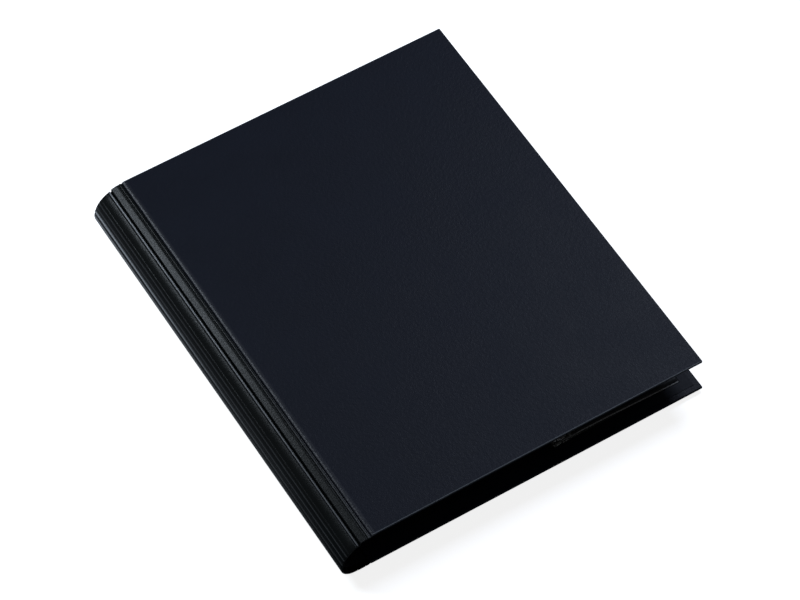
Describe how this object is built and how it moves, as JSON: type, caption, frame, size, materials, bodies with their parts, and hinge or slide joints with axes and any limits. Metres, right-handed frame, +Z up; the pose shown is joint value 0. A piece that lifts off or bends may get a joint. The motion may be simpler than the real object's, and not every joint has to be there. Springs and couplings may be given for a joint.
{
  "type": "conference folder",
  "caption": "Hard-cover conference folder with a rounded scored spine, folding hinge strips, inner pockets and a lever-operated ring mechanism on the back cover.",
  "frame": {"origin": "centre of the folder's footprint on the surface it lies on", "axes": "+X from the spine to the fore-edge, +Y from the tail to the head, +Z up through the closed folder"},
  "size_m": [0.267, 0.315, 0.033],
  "materials": {
    "cover_paper": "fine leather grain, satin, blue-black",
    "spine_paper": "fine leather grain, satin, black, pressed lines",
    "grey_board": "raw grey board",
    "lining_paper": "matt black",
    "pocket_paper": "matt black, lightly grained",
    "gusset_cloth": "black book cloth",
    "nickelled_steel": "bright nickel plate",
    "spring_steel": "bright spring steel"
  },
  "bodies": {
    "back_cover": {"back_skin": "cover_paper", "back_board": "grey_board", "back_lining": "lining_paper", "back_pocket_panel": "pocket_paper", "back_pocket_gusset_tail": "gusset_cloth", "back_pocket_gusset_head": "gusset_cloth", "ring_housing": "nickelled_steel", "housing_rivet_tail": "nickelled_steel", "housing_rivet_head": "nickelled_steel", "lever_pin_tail": "spring_steel", "lever_pin_head": "spring_steel"},
    "spine": {"spine_skin": "spine_paper", "spine_board": "grey_board", "spine_lining": "lining_paper", "back_hinge_strip": "spine_paper", "back_hinge_lining": "lining_paper", "front_hinge_strip": "spine_paper", "front_hinge_lining": "lining_paper"},
    "front_cover": {"front_skin": "cover_paper", "front_board": "grey_board", "front_lining": "lining_paper", "front_pocket_panel": "pocket_paper", "card_pocket": "pocket_paper"},
    "left_ring_carrier": {"left_blade": "spring_steel", "left_ring_half_tail": "nickelled_steel", "left_ring_half_head": "nickelled_steel"},
    "right_ring_carrier": {"right_blade": "spring_steel", "right_ring_half_tail": "nickelled_steel", "right_ring_half_head": "nickelled_steel"},
    "tail_lever": {"lever_tail": "nickelled_steel"},
    "head_lever": {"lever_head": "nickelled_steel"}
  },
  "joints": [
    {"name": "spine_hinge", "type": "hinge", "parent": "back_cover", "child": "spine", "pos_m": [-0.1173, 0, 0.0006], "axis": [0, -1, 0], "range_deg": [0, 20]},
    {"name": "front_cover_hinge", "type": "hinge", "parent": "spine", "child": "front_cover", "pos_m": [-0.1173, 0, 0.0316], "axis": [0, -1, 0], "range_deg": [0, 166]},
    {"name": "left_ring_hinge", "type": "hinge", "parent": "back_cover", "child": "left_ring_carrier", "pos_m": [-0.1071, 0, 0.0044], "axis": [0, -1, 0], "range_deg": [0, 16]},
    {"name": "right_ring_hinge", "type": "hinge", "parent": "back_cover", "child": "right_ring_carrier", "pos_m": [-0.0899, 0, 0.0044], "axis": [0, 1, 0], "range_deg": [0, 16]},
    {"name": "tail_lever_hinge", "type": "hinge", "parent": "back_cover", "child": "tail_lever", "pos_m": [-0.0985, -0.0548, 0.0035], "axis": [1, 0, 0], "range_deg": [0, 30]},
    {"name": "head_lever_hinge", "type": "hinge", "parent": "back_cover", "child": "head_lever", "pos_m": [-0.0985, 0.0548, 0.0035], "axis": [-1, 0, 0], "range_deg": [0, 30]}
  ],
  "couplings": [
    {"joint": "right_ring_hinge", "follows": "left_ring_hinge", "ratio": 1},
    {"joint": "tail_lever_hinge", "follows": "left_ring_hinge", "ratio": 1.875},
    {"joint": "head_lever_hinge", "follows": "left_ring_hinge", "ratio": 1.875}
  ]
}
